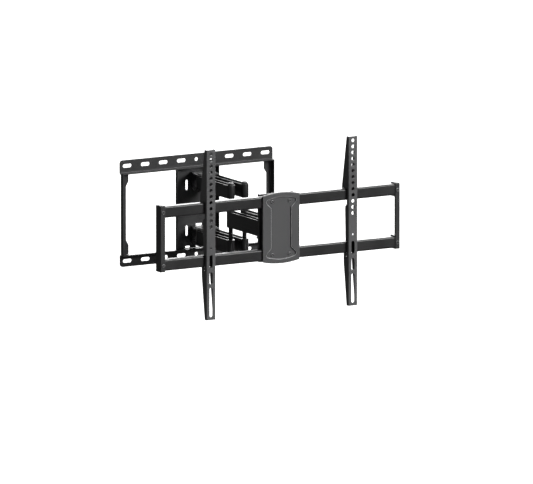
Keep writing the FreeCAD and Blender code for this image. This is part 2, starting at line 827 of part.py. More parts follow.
def end_bar(label, side):
    """A moulded bar that caps the ends of both rails."""
    edge_round, corner, socket_play = 2.5, 3.5, 0.1
    xs = sorted((side * dim.end_bar_inner, side * dim.end_bar_outer), key=lambda t: t.value)
    front, back = rail_front + dim.end_bar_cover, dim.rail_back - dim.end_bar_cover / 2
    low = rail_centres["bottom"] - dim.rail_height / 2 - dim.end_bar_cover
    high = rail_centres["top"] + dim.rail_height / 2 + dim.end_bar_lip
    outline = [
        (xs[0], low),
        (xs[1], low),
        (xs[1], high - corner),
        (xs[1] - corner, high),
        (xs[0] + corner, high),
        (xs[0], high - corner),
    ]
    round_corners = {2: (xs[1] - corner, high - corner), 4: (xs[0] + corner, high - corner)}
    body = new_body(label)
    pad(body, new_sketch(body, "XZ", back, [(outline, round_corners)]), front - back)
    fillet(body, edge_round, ("z", {"y": front}), ("x", {"y": front, "z": high}))
    sockets = []
    for centre in rail_centres.values():
        z = (centre - dim.rail_height / 2 - socket_play, centre + dim.rail_height / 2 + socket_play)
        out = (-(rail_front + socket_play), -(dim.rail_back - socket_play))
        sockets.append(rounded_rectangle(out[0], out[1], z[0], z[1], dim.rail_corner))
    depth = dim.rail_half - dim.end_bar_inner
    pocket(body, new_sketch(body, "YZ", side * dim.end_bar_inner, sockets), depth, forward=side > 0)
    hole_radius = dim.end_screw_radius + dim.running_gap
    holes = [(side * dim.end_screw_x, z, hole_radius) for z in rail_centres.values()]
    pocket(body, new_sketch(body, "XZ", front, [], holes), 3)
    return body


def end_screw(x, z):
    """A pan-head screw that ties one rail end to its end bar."""
    head_radius, head_height, slot_radius, slot_depth = 4.5, 2.2, 2, 1.3
    seat = rail_front + dim.end_bar_cover
    shank = rod("out", (x, dim.rail_back, z), seat - dim.rail_back, dim.end_screw_radius)
    head = rod("out", (x, seat, z), term(head_height), head_radius)
    socket = hexagon("out", (x, seat + head_height - slot_depth, z), term(slot_depth + 1), slot_radius)
    return cut(fuse(shank, head), socket)


for end, centre in rail_centres.items():
    nodes.append(tv_rail(f"rail_{end}", centre))
for side, hand in ((-1, "left"), (1, "right")):
    nodes.append(end_bar(f"end_bar_{hand}", side))
end_places = [(side * dim.end_screw_x, z) for side in (-1, 1) for z in rail_centres.values()]
nodes.append(group("end_screws", [end_screw(x, z) for x, z in end_places]))


# Television brackets: channels that hook over the top rail and lock under the bottom one.


def tv_bracket(label, side):
    x = side * dim.bracket_x
    half = dim.bracket_width / 2
    middle = dim.head_middle
    top, bottom = middle + dim.bracket_half, middle - dim.bracket_half
    rail = {end: (z - dim.rail_height / 2, z + dim.rail_height / 2) for end, z in rail_centres.items()}
    play = dim.loose_gap
    rest = rail_front + play
    front = dim.bracket_front
    # The flange's back edge from the top down, as (out, z).
    back_edge = [
        (front - 9.8, top),
        (front - dim.hook_depth, rail["top"][1] + 6),
        (front - dim.hook_depth, rail["top"][1] - 6),
        (dim.rail_back - play, rail["top"][1] - 6),
        (dim.rail_back - play, rail["top"][1] + play),
        (rest, rail["top"][1] + play),
        (rest, term(52)),
        (front - 17, term(44)),
        (front - 14.5, rail["bottom"][1] + play),
        (rest, rail["bottom"][1] + play),
        (rest, rail["bottom"][0] - play),
        (front - dim.tail_depth, rail["bottom"][0] - play),
        (front - dim.tail_depth, term(-92)),
        (front - 9.3, bottom),
    ]
    profile = [(-front, top)] + [(-out, z) for out, z in back_edge] + [(-front, bottom)]
    profile.reverse()
    body = new_body(label)
    pad(body, new_sketch(body, "YZ", x - half, [(profile, {})]), dim.bracket_width)
    inside = half - dim.bracket_steel
    web_back = front - dim.bracket_steel
    trough = rectangle(-web_back, -(front - dim.hook_depth - 1), bottom - 1, top + 1)
    pocket(body, new_sketch(body, "YZ", x + inside, [trough]), 2 * inside)
    fillet(body, dim.bracket_steel, ("z", {"x": dim.bracket_x + half, "y": front}),
           ("z", {"x": dim.bracket_x - half, "y": front}))
    radius = dim.bracket_hole_radius
    holes = [
        (x, middle + dim.bracket_hole_first + i * dim.bracket_hole_pitch, radius)
        for i in range(13)
    ]
    holes.append((x, middle - 33, term(2.4)))
    slots = [
        slot_upright(x, middle + low, middle + high, 2 * radius)
        for low, high in ((-81, -49), (-122, -92), (-203, -130))
    ]
    pocket(body, new_sketch(body, "XZ", front, slots, holes), dim.bracket_steel)
    lock_hole = (-(front - 12), rail["bottom"][0] - 9, term(2.5))
    pocket(body, new_sketch(body, "YZ", x + half, [], [lock_hole]), dim.bracket_width)
    return body


lock_plate_top = rail_centres["bottom"] - dim.rail_height / 2 - 13
lock_screw_out = dim.bracket_front - 19


def lock_plate(x):
    """A strap between a bracket's flanges, with the threaded hole for its lock screw."""
    inside = dim.bracket_width / 2 - dim.bracket_steel
    out = (dim.bracket_front - dim.tail_depth + 1, dim.bracket_front - 14.5)
    strap = block((x - inside, x + inside), out, (lock_plate_top - 3, lock_plate_top))
    bore = rod("z", (x, lock_screw_out, lock_plate_top - 4), 5, dim.end_screw_radius + dim.running_gap)
    return cut(strap, bore)


def lock_screw(x):
    """Screws up under the bottom rail, so that the bracket can't lift off."""
    head_radius, head_height, reach = 4.2, 4, 15
    top = rail_centres["bottom"] - dim.rail_height / 2 - dim.loose_gap
    shank = rod("z", (x, lock_screw_out, top - reach - 7), term(reach + 7), dim.end_screw_radius)
    head = rod("z", (x, lock_screw_out, top - reach - 7 - head_height), term(head_height), head_radius)
    return fuse(shank, head)


for side, hand in ((-1, "left"), (1, "right")):
    nodes.append(tv_bracket(f"tv_bracket_{hand}", side))
    nodes.append(named(lock_plate(side * dim.bracket_x), f"lock_plate_{hand}"))
    nodes.append(named(lock_screw(side * dim.bracket_x), f"lock_screw_{hand}"))


# Checks, then one STEP file for each sub-part.

doc.recompute()
for thing in doc.Objects:
    if "Invalid" in thing.State or "Error" in thing.State:
        raise RuntimeError(f"{thing.Label} failed: {thing.State}")
for node in nodes:
    if node.Shape.isNull() or not node.Shape.isValid():
        raise RuntimeError(f"{node.Label} has no valid shape")

os.makedirs("parts", exist_ok=True)
for node in nodes:
    node.Shape.exportStep(os.path.join("parts", node.Label + ".step"))
    box = node.Shape.BoundBox
    print(f"{node.Label}: {box.XLength:.1f} x {box.YLength:.1f} x {box.ZLength:.1f},"
          f" {len(node.Shape.Solids)} solids, {node.Shape.Volume / 1000:.1f} cm3")
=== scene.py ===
import json
import math

import bmesh
import bpy
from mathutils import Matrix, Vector


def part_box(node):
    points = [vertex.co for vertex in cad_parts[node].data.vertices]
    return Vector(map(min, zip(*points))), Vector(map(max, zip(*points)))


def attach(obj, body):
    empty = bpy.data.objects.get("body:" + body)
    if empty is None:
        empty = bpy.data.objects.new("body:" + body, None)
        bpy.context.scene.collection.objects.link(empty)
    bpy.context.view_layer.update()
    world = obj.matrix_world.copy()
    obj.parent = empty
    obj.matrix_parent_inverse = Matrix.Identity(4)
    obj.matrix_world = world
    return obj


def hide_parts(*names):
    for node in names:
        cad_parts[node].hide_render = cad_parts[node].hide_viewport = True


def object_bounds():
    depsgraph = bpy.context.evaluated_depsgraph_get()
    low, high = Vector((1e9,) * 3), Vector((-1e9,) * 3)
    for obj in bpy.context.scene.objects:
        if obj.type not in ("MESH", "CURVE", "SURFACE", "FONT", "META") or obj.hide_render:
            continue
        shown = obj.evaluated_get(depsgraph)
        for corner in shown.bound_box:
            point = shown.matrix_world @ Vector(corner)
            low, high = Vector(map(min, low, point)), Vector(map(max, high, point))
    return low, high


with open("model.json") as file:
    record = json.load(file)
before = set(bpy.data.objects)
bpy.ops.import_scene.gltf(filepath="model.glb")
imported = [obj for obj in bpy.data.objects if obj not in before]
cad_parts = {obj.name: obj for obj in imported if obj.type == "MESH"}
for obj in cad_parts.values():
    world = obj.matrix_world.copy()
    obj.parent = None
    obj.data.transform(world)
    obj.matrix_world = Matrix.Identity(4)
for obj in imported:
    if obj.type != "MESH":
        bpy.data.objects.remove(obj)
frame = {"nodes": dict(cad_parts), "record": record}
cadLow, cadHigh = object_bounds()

print("frame loaded with", len(frame["nodes"]), "parts")
mm = 0.001


# Small helpers for node trees.

def put(tree, kind, inputs=None, **settings):
    node = tree.nodes.new(kind)
    for key, value in settings.items():
        setattr(node, key, value)
    for key, value in (inputs or {}).items():
        if isinstance(value, bpy.types.NodeSocket):
            tree.links.new(value, node.inputs[key])
        else:
            node.inputs[key].default_value = value
    return node


def newGroup(name, kind, inputs, outputs):
    group = bpy.data.node_groups.new(name, kind)
    for label, socketType, value in inputs:
        socket = group.interface.new_socket(label, in_out="INPUT", socket_type=socketType)
        if value is not None:
            socket.default_value = value
    for label, socketType in outputs:
        group.interface.new_socket(label, in_out="OUTPUT", socket_type=socketType)
    entry = group.nodes.new("NodeGroupInput").outputs
    return group, entry, group.nodes.new("NodeGroupOutput")


# Finishes. Every coat shares one grain group and one edge group, each with its own values.

coatTexture = dict(peelDetail=1.0, grainDetail=2.0, cloudDetail=4.0, cloudRough=0.6,
                   cloudLow=0.3, cloudHigh=0.7, speckFrom=0.62, speckTo=0.78, speckDull=0.12,
                   bumpDepth=0.03)  # bumpDepth is in millimetres
# patches of the lighter edge tone, which is partly wear and partly a painted highlight on rounded
# edges
rubAndSheenPatch = dict(scale=130.0, detail=5.0, roughness=0.65, low=0.32, high=0.62, least=0.35)


def makeGrainGroup():
    group, entry, leave = newGroup(
        "coatGrain", "ShaderNodeTree",
        [("Vector", "NodeSocketVector", None), ("Peel Scale", "NodeSocketFloat", 700.0),
         ("Grain Scale", "NodeSocketFloat", 2400.0), ("Cloud Scale", "NodeSocketFloat", 16.0)],
        [("Height", "NodeSocketFloat"), ("Cloud", "NodeSocketFloat"), ("Speck", "NodeSocketFloat")])
    where = entry["Vector"]
    peel = put(group, "ShaderNodeTexNoise",
               {"Vector": where, "Scale": entry["Peel Scale"],
                "Detail": coatTexture["peelDetail"]}).outputs["Fac"]
    grain = put(group, "ShaderNodeTexNoise",
                {"Vector": where, "Scale": entry["Grain Scale"],
                 "Detail": coatTexture["grainDetail"]}).outputs["Fac"]
    cloud = put(group, "ShaderNodeTexNoise",
                {"Vector": where, "Scale": entry["Cloud Scale"],
                 "Detail": coatTexture["cloudDetail"], "Roughness": coatTexture["cloudRough"]})
    height = put(group, "ShaderNodeMath", {0: peel, 1: grain}, operation="ADD")
    speck = put(group, "ShaderNodeMapRange",
                {"Value": grain, "From Min": coatTexture["speckFrom"],
                 "From Max": coatTexture["speckTo"]})
    links = group.links
    links.new(height.outputs[0], leave.inputs["Height"])
    links.new(cloud.outputs["Fac"], leave.inputs["Cloud"])
    links.new(speck.outputs["Result"], leave.inputs["Speck"])
    return group


# the edge group masks the lighter edge tone on rim faces: partly patchy wear, partly a painted
# highlight where rounded edges would catch light
def makeEdgeGroup():
    group, entry, leave = newGroup(
        "edgeWearAndSheen", "ShaderNodeTree",
        [("Vector", "NodeSocketVector", None), ("Rim", "NodeSocketFloat", 0.0),
         ("Rub And Sheen", "NodeSocketFloat", 0.5)],
        [("Mask", "NodeSocketFloat")])
    patch = put(group, "ShaderNodeTexNoise",
                {"Vector": entry["Vector"], "Scale": rubAndSheenPatch["scale"],
                 "Detail": rubAndSheenPatch["detail"], "Roughness": rubAndSheenPatch["roughness"]})
    soft = put(group, "ShaderNodeMapRange",
               {"Value": patch.outputs["Fac"], "From Min": rubAndSheenPatch["low"],
                "From Max": rubAndSheenPatch["high"], "To Min": rubAndSheenPatch["least"]})
    wornAndSheen = put(group, "ShaderNodeMath", {0: soft.outputs["Result"], 1: entry["Rub And Sheen"]},
               operation="MULTIPLY")
    mask = put(group, "ShaderNodeMath", {0: wornAndSheen.outputs[0], 1: entry["Rim"]},
               operation="MULTIPLY", use_clamp=True)
    group.links.new(mask.outputs[0], leave.inputs["Mask"])
    return group


grainGroup = makeGrainGroup()
edgeGroup = makeEdgeGroup()

finishes = {  # dark and light are the two tones of the coat, edge is the lighter tone on rounded edges: partly rubbed-thin paint, partly a painted highlight where the edges catch light
    "black_steel": dict(dark=0.012, light=0.024, edge=0.075, rubAndSheen=0.8, roughness=0.36, spread=0.10,
                        specular=0.34, peel=620.0, grain=2400.0, bump=0.35),
    "grey_steel": dict(dark=0.062, light=0.092, edge=0.17, rubAndSheen=0.7, roughness=0.42, spread=0.10,
                       specular=0.34, peel=620.0, grain=2400.0, bump=0.35),
    "wall_steel": dict(dark=0.020, light=0.036, edge=0.10, rubAndSheen=0.8, roughness=0.40, spread=0.10,
                       specular=0.34, peel=620.0, grain=2400.0, bump=0.35),
    # plate_steel's bright edge tone paints the highlight around the sunken panel
    "plate_steel": dict(dark=0.058, light=0.070, edge=0.42, rubAndSheen=0.9, roughness=0.44, spread=0.06,
                        specular=0.34, peel=620.0, grain=2400.0, bump=0.25),
    "black_plastic": dict(dark=0.016, light=0.028, edge=0.05, rubAndSheen=0.5, roughness=0.46, spread=0.08,
                          specular=0.36, peel=1100.0, grain=3200.0, bump=0.5),
    "black_nylon": dict(dark=0.010, light=0.018, edge=0.03, rubAndSheen=0.3, roughness=0.55, spread=0.08,
                        specular=0.4, peel=300.0, grain=1500.0, bump=0.2),
    "black_fastener": dict(dark=0.018, light=0.040, edge=0.20, rubAndSheen=0.9, roughness=0.30, spread=0.14,
                           specular=0.5, peel=500.0, grain=3000.0, bump=0.2),
}


def makeCoat(slotName, look):
    material = bpy.data.materials.new(slotName)
    material.use_nodes = True
    tree = material.node_tree
    shader = tree.nodes["Principled BSDF"]
    place = put(tree, "ShaderNodeTexCoord").outputs["Object"]
    grain = put(tree, "ShaderNodeGroup", node_tree=grainGroup)
    edge = put(tree, "ShaderNodeGroup", node_tree=edgeGroup)
    for node in (grain, edge):
        tree.links.new(place, node.inputs["Vector"])
    grain.inputs["Peel Scale"].default_value = look["peel"]
    grain.inputs["Grain Scale"].default_value = look["grain"]
    edge.inputs["Rub And Sheen"].default_value = look["rubAndSheen"]
    rim = put(tree, "ShaderNodeAttribute", attribute_name="rim").outputs["Fac"]
    tree.links.new(rim, edge.inputs["Rim"])

    def grey(tone, tint=1.02):
        return (tone, tone, tone * tint, 1.0)

    base = put(tree, "ShaderNodeMix", data_type="RGBA")
    base.inputs[6].default_value = grey(look["dark"])
    base.inputs[7].default_value = grey(look["light"])
    tree.links.new(grain.outputs["Cloud"], base.inputs[0])
    # the lighter edge tone on rim faces: partly wear, partly a painted highlight on edges that
    # would catch light
    wearAndHighlight = put(tree, "ShaderNodeMix", data_type="RGBA")
    tree.links.new(base.outputs[2], wearAndHighlight.inputs[6])
    wearAndHighlight.inputs[7].default_value = grey(look["edge"])
    tree.links.new(edge.outputs["Mask"], wearAndHighlight.inputs[0])
    tree.links.new(wearAndHighlight.outputs[2], shader.inputs["Base Color"])
    gloss = put(tree, "ShaderNodeMapRange",
                {"Value": grain.outputs["Cloud"], "From Min": coatTexture["cloudLow"],
                 "From Max": coatTexture["cloudHigh"],
                 "To Min": look["roughness"] - look["spread"] / 2,
                 "To Max": look["roughness"] + look["spread"] / 2})
    dull = put(tree, "ShaderNodeMath",
               {0: grain.outputs["Speck"], 1: coatTexture["speckDull"], 2: gloss.outputs["Result"]},
               operation="MULTIPLY_ADD")
    tree.links.new(dull.outputs[0], shader.inputs["Roughness"])
    bump = put(tree, "ShaderNodeBump",
               {"Height": grain.outputs["Height"], "Distance": coatTexture["bumpDepth"] * mm,
                "Strength": look["bump"]})
    tree.links.new(bump.outputs["Normal"], shader.inputs["Normal"])
    shader.inputs["Specular IOR Level"].default_value = look["specular"]
    return material


slotOf = {name: node.material_slots[0].material.name for name, node in frame["nodes"].items()}
bodies = frame["record"]["behaviour"]["bodies"]
bodyOf = {name: body for body, names in bodies.items() for name in names}
coats = {slot: makeCoat(slot + "_coat", look) for slot, look in finishes.items()}


def coatOf(name):
    # the wall frame and the head's front plate have coats of their own within their slots
    if name == "head_front_plate":
        return coats["plate_steel"]
    if bodyOf[name] == "wall_frame" and slotOf[name] == "black_steel":
        return coats["wall_steel"]
    return coats[slotOf[name]]


for name, node in frame["nodes"].items():
    node.material_slots[0].material = coatOf(name)
print("finishes made:", ", ".join(coats))


# Pieces. Each finished mesh sits at the origin, rides on one body and stands for the part it is
# named after.

def finishPiece(thing, nodes):
    thing.data.materials.clear()
    thing.data.materials.append(coatOf(nodes[0]))
    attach(thing, bodyOf[nodes[0]])
    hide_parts(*nodes)
    return thing


def meshFrom(shape, name):
    mesh = bpy.data.meshes.new(name)
    shape.to_mesh(mesh)
    shape.free()
    return mesh


def asPlainMesh(thing):
    bpy.context.view_layer.update()
    shaped = thing.evaluated_get(bpy.context.evaluated_depsgraph_get())
    mesh = bpy.data.meshes.new_from_object(shaped)
    thing.modifiers.clear()
    thing.data = mesh
    mesh.name = thing.name
    return thing


def newThing(name, mesh):
    thing = bpy.data.objects.new(name, mesh)
    bpy.context.scene.collection.objects.link(thing)
    return thing


# Cut and bent steel keeps the designed shape, with every sharp edge rounded as deburring and
# paint leave it. Widths are in millimetres.

softEdges = {
    "wall_rail_top": 0.5, "wall_rail_bottom": 0.5, "wall_side_left": 0.5, "wall_side_right": 0.5,
    "wall_column": 0.5, "wall_bracket_upper": 0.6, "wall_bracket_lower": 0.6,
    "head_yoke": 0.6, "swivel_block": 0.5, "head_rear_plate": 0.5,
    "rail_top": 0.5, "rail_bottom": 0.5, "end_bar_left": 0.6, "end_bar_right": 0.6,
    "tv_bracket_left": 0.5, "tv_bracket_right": 0.5,
    "lock_plate_left": 0.3, "lock_plate_right": 0.3,
}
deburr = dict(sharpFrom=math.radians(32), flatWithin=math.radians(0.3), weld=0.002, segments=2,
              flatWeight=80)


def softened(node, width):
    shape = bmesh.new()
    shape.from_mesh(frame["nodes"][node].data)
    bmesh.ops.remove_doubles(shape, verts=shape.verts, dist=deburr["weld"] * mm)
    bmesh.ops.dissolve_limit(shape, angle_limit=deburr["flatWithin"], verts=shape.verts,
                             edges=shape.edges)
    sharp = [e for e in shape.edges
             if len(e.link_faces) == 2 and e.calc_face_angle() > deburr["sharpFrom"]]
    # rounded faces are marked rim; the coats paint them lighter, partly as wear and partly as a
    # painted highlight
    rim = shape.faces.layers.float.new("rim")
    rounded = bmesh.ops.bevel(shape, geom=sharp, offset=width, offset_type="OFFSET",
                              segments=deburr["segments"], profile=0.5, affect="EDGES",
                              clamp_overlap=True)
    for face in rounded["faces"]:
        face[rim] = 1.0
    for face in shape.faces:
        face.smooth = True
    thing = newThing(node + "_soft", meshFrom(shape, node + "_soft"))
    normals = thing.modifiers.new("evenNormals", "WEIGHTED_NORMAL")
    normals.keep_sharp = True
    normals.weight = deburr["flatWeight"]
    return asPlainMesh(thing)


# Between the rails an end bar is open to the inside: only its front and its outer wall run through.
endBar = dict(wall=2.5, block=3.0, past=1.0)


def opened(thing, node):
    low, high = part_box(node)
    side = 1 if high.x > 0 else -1
    inner, outer = (low.x, high.x) if side > 0 else (high.x, low.x)
    wall, past, block = (endBar[key] * mm for key in ("wall", "past", "block"))
    xs = sorted((inner - side * past, outer - side * wall))
    ys = (low.y + wall, high.y + past)
    zs = (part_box("rail_bottom")[1].z + block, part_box("rail_top")[0].z - block)
    shape = bmesh.new()
    bmesh.ops.create_cube(shape, size=1.0)
    for vert in shape.verts:
        for axis, span in enumerate((xs, ys, zs)):
            vert.co[axis] = span[vert.co[axis] > 0]
    cutter = newThing("cutter", meshFrom(shape, "cutter"))
    cut = thing.modifiers.new("cut", "BOOLEAN")
    cut.operation, cut.solver, cut.object = "DIFFERENCE", "EXACT", cutter
    thing.modifiers.new("shade", "WEIGHTED_NORMAL")
    asPlainMesh(thing)
    bpy.data.objects.remove(cutter)
    return thing


for node, width in softEdges.items():
    thing = softened(node, width * mm)
    finishPiece(opened(thing, node) if node.startswith("end_bar") else thing, [node])
print("sheet steel softened:", len(softEdges), "pieces")


# Geometry node trees for what repeats: bent bars, turned rings, screw and pin heads, weld beads.

turning = dict(leanFrom=0.12, leanTo=0.98, ringSteps=40, cornerSteps=3, headSides=24,
               closeWithin=0.001)
bending = dict(cornerSteps=12, cornerShare=0.4999, bossCorner=0.5)  # share just short of a half
beading = dict(segments=12, rings=7, smallest=0.82, largest=1.05)
crowns = dict(  # share of the rise that each step adds, and the share of the radius it ends at
    pan=((0.35, 1.0), (0.30, 0.95), (0.20, 0.84), (0.15, 0.68)),
    pin=((0.70, 1.0), (0.20, 0.95), (0.10, 0.86)))


def meshTree(name, inputs):
    ends = [("Geometry", "NodeSocketGeometry", None)]
    finish = [("Finish", "NodeSocketMaterial", None)]
    tree, entry, leave = newGroup(name, "GeometryNodeTree", ends + inputs + finish,
                                  [("Geometry", "NodeSocketGeometry")])
    tree.is_modifier = True
    return tree, entry, leave


def lengths(**values):
    return [(name, "NodeSocketFloat", value * mm) for name, value in values.items()]


def reckon(tree, operation, first, second=0.0):
    return put(tree, "ShaderNodeMath", {0: first, 1: second}, operation=operation).outputs[0]


def finishTree(tree, entry, leave, geometry):
    real = put(tree, "GeometryNodeRealizeInstances", {"Geometry": geometry}).outputs["Geometry"]
    smooth = put(tree, "GeometryNodeSetShadeSmooth", {"Geometry": real}).outputs["Geometry"]
    painted = put(tree, "GeometryNodeSetMaterial",
                  {"Geometry": smooth, "Material": entry["Finish"]})
    tree.links.new(painted.outputs["Geometry"], leave.inputs["Geometry"])


def scatter(tree, points, instance, **more):
    inputs = {"Points": points, "Instance": instance, **more}
    return put(tree, "GeometryNodeInstanceOnPoints", inputs).outputs[0]


def markRim(tree, geometry):
    # faces that lean are the rounded edges, where paint wears first and where the coats also paint
    # a highlight in their lighter edge tone
    normal = put(tree, "GeometryNodeInputNormal").outputs[0]
    upright = reckon(tree, "ABSOLUTE", put(tree, "ShaderNodeSeparateXYZ", {0: normal}).outputs["Z"])
    leaning = reckon(tree, "MULTIPLY", reckon(tree, "GREATER_THAN", upright, turning["leanFrom"]),
                     reckon(tree, "LESS_THAN", upright, turning["leanTo"]))
    stored = put(tree, "GeometryNodeStoreNamedAttribute",
                 {"Geometry": geometry, "Name": "rim", "Value": leaning},
                 data_type="FLOAT", domain="FACE")
    return stored.outputs["Geometry"]


def sweep(tree, path, width, height, corner):
    section = put(tree, "GeometryNodeCurvePrimitiveQuadrilateral",
                  {"Width": width, "Height": height})
    rounded = put(tree, "GeometryNodeFilletCurve",
                  {"Curve": section.outputs[0], "Radius": corner,
                   "Count": turning["cornerSteps"]}, mode="POLY")
    swept = put(tree, "GeometryNodeCurveToMesh",
                {"Curve": path, "Profile Curve": rounded.outputs[0]})
    return markRim(tree, swept.outputs["Mesh"])


def makeRingTree():
    sizes = lengths(Inner=4.0, Outer=8.0, Height=3.0, Corner=0.4)
    tree, entry, leave = meshTree("turnedRing", sizes)
    middle = reckon(tree, "MULTIPLY", reckon(tree, "ADD", entry["Inner"], entry["Outer"]), 0.5)
    wall = reckon(tree, "SUBTRACT", entry["Outer"], entry["Inner"])
    path = put(tree, "GeometryNodeCurvePrimitiveCircle",
               {"Resolution": turning["ringSteps"], "Radius": middle}).outputs[0]
    ring = sweep(tree, path, wall, entry["Height"], entry["Corner"])
    finishTree(tree, entry, leave, scatter(tree, entry["Geometry"], ring))
    return tree


def makeBarTree(ringTree):
    # one flat bar bent into a long loop, with a boss welded in each end
    sizes = lengths(Reach=150.0, Round=10.0, Thickness=3.0, Height=33.0, Corner=0.8, Boss=7.5,
                    Bore=4.05)
    tree, entry, leave = meshTree("bentBar", sizes)
    width = reckon(tree, "MULTIPLY", entry["Round"], 2.0)
    across = reckon(tree, "SUBTRACT", width, entry["Thickness"])
    along = reckon(tree, "ADD", entry["Reach"], across)
    oblong = put(tree, "GeometryNodeCurvePrimitiveQuadrilateral",
                 {"Width": across, "Height": along})
    cornerRound = reckon(tree, "MULTIPLY", across, bending["cornerShare"])
    loop = put(tree, "GeometryNodeFilletCurve",
               {"Curve": oblong.outputs[0], "Radius": cornerRound,
                "Count": bending["cornerSteps"]}, mode="POLY")
    bar = sweep(tree, loop.outputs[0], entry["Thickness"], entry["Height"], entry["Corner"])
    half = put(tree, "ShaderNodeCombineXYZ", {"Y": reckon(tree, "MULTIPLY", entry["Reach"], -0.5)})
    step = put(tree, "ShaderNodeCombineXYZ", {"Y": entry["Reach"]})
    ends = put(tree, "GeometryNodeMeshLine",
               {"Count": 2, "Start Location": half.outputs[0], "Offset": step.outputs[0]})
    bosses = put(tree, "GeometryNodeGroup", node_tree=ringTree)
    for name, value in (("Geometry", ends.outputs[0]), ("Inner", entry["Bore"]),
                        ("Outer", entry["Boss"]), ("Height", entry["Height"]),
                        ("Finish", entry["Finish"])):
        tree.links.new(value, bosses.inputs[name])
    bosses.inputs["Corner"].default_value = bending["bossCorner"] * mm
    whole = put(tree, "GeometryNodeJoinGeometry")
    tree.links.new(bar, whole.inputs[0])
    tree.links.new(bosses.outputs[0], whole.inputs[0])
    finishTree(tree, entry, leave, scatter(tree, entry["Geometry"], whole.outputs[0]))
    return tree


def makeHeadTree(name, crown):
    # a head whose sides follow crown, with a hexagon socket, on a plain shank; it points along +Z
    # before Turn
    sizes = lengths(Radius=6.0, Rise=3.0, Socket=2.0, Depth=1.5, Shank=3.0, Length=10.0)
    tree, entry, leave = meshTree(name, [("Turn", "NodeSocketVector", None)] + sizes)
    skyward = put(tree, "FunctionNodeInputVector", vector=(0.0, 0.0, 1.0)).outputs[0]
    disc = put(tree, "GeometryNodeMeshCircle",
               {"Vertices": turning["headSides"], "Radius": entry["Radius"]}, fill_type="NGON")
    underside = put(tree, "GeometryNodeFlipFaces", {"Mesh": disc.outputs[0]}).outputs[0]
    shape, top = disc.outputs[0], True
    width = 1.0
    for share, wide in crown:
        raised = put(tree, "GeometryNodeExtrudeMesh",
                     {"Mesh": shape, "Selection": top, "Offset": skyward,
                      "Offset Scale": reckon(tree, "MULTIPLY", entry["Rise"], share),
                      "Individual": False})
        shaped = put(tree, "GeometryNodeScaleElements",
                     {"Geometry": raised.outputs["Mesh"], "Selection": raised.outputs["Top"],
                      "Scale": wide / width})
        shape, top, width = shaped.outputs[0], raised.outputs["Top"], wide
    mouth = put(tree, "GeometryNodeExtrudeMesh",
                {"Mesh": shape, "Selection": top, "Offset": skyward, "Offset Scale": 0.0,
                 "Individual": False})
    mouthTop = mouth.outputs["Top"]
    crownRadius = reckon(tree, "MULTIPLY", entry["Radius"], width)
    narrowed = reckon(tree, "DIVIDE", entry["Socket"], crownRadius)
    mouthSized = put(tree, "GeometryNodeScaleElements",
                     {"Geometry": mouth.outputs["Mesh"], "Selection": mouthTop, "Scale": narrowed})
    where = put(tree, "GeometryNodeInputPosition").outputs[0]
    spot = put(tree, "ShaderNodeSeparateXYZ", {0: where}).outputs
    angle = reckon(tree, "ARCTAN2", spot["Y"], spot["X"])
    sixth = math.pi / 3
    turned = reckon(tree, "SUBTRACT", reckon(tree, "FLOORED_MODULO", angle, sixth), sixth / 2)
    shrink = reckon(tree, "DIVIDE", math.cos(sixth / 2), reckon(tree, "COSINE", turned))
    flat = put(tree, "ShaderNodeCombineXYZ",
               {"X": reckon(tree, "MULTIPLY", spot["X"], shrink),
                "Y": reckon(tree, "MULTIPLY", spot["Y"], shrink), "Z": spot["Z"]})
    hexed = put(tree, "GeometryNodeSetPosition",
                {"Geometry": mouthSized.outputs[0], "Selection": mouthTop,
                 "Position": flat.outputs[0]})
    sunk = put(tree, "GeometryNodeExtrudeMesh",
               {"Mesh": hexed.outputs[0], "Selection": mouthTop, "Offset": skyward,
                "Offset Scale": reckon(tree, "MULTIPLY", entry["Depth"], -1.0),
                "Individual": False})
    joined = put(tree, "GeometryNodeJoinGeometry")
    tree.links.new(sunk.outputs["Mesh"], joined.inputs[0])
    tree.links.new(underside, joined.inputs[0])
    closed = put(tree, "GeometryNodeMergeByDistance",
                 {"Geometry": joined.outputs[0], "Distance": turning["closeWithin"] * mm})
    rod = put(tree, "GeometryNodeMeshCylinder",
              {"Vertices": turning["headSides"], "Radius": entry["Shank"],
               "Depth": entry["Length"]})
    below = put(tree, "ShaderNodeCombineXYZ",
                {"Z": reckon(tree, "MULTIPLY", entry["Length"], -0.5)})
    shank = put(tree, "GeometryNodeTransform",
                {"Geometry": rod.outputs[0], "Translation": below.outputs[0]})
    whole = put(tree, "GeometryNodeJoinGeometry")
    tree.links.new(markRim(tree, closed.outputs[0]), whole.inputs[0])
    tree.links.new(shank.outputs[0], whole.inputs[0])
    turn = put(tree, "FunctionNodeEulerToRotation", {"Euler": entry["Turn"]})
    placed = scatter(tree, entry["Geometry"], whole.outputs[0], Rotation=turn.outputs[0])
    finishTree(tree, entry, leave, placed)
    return tree


def makeWeldTree():
    sizes = lengths(Radius=1.4, Step=1.1) + [("Seed", "NodeSocketInt", 7)]
    tree, entry, leave = meshTree("weldBead", sizes)
    seam = put(tree, "GeometryNodeMeshToCurve", {"Mesh": entry["Geometry"]}).outputs[0]
    steps = put(tree, "GeometryNodeResampleCurve", {"Curve": seam, "Length": entry["Step"]},
                mode="LENGTH")
    drop = put(tree, "GeometryNodeMeshUVSphere",
               {"Segments": beading["segments"], "Rings": beading["rings"],
                "Radius": entry["Radius"]})
    size = put(tree, "FunctionNodeRandomValue", {"Seed": entry["Seed"]}, data_type="FLOAT_VECTOR")
    size.inputs["Min"].default_value = (beading["smallest"],) * 3
    size.inputs["Max"].default_value = (beading["largest"],) * 3
    beads = scatter(tree, steps.outputs[0], drop.outputs[0], Scale=size.outputs[0])
    finishTree(tree, entry, leave, beads)
    return tree


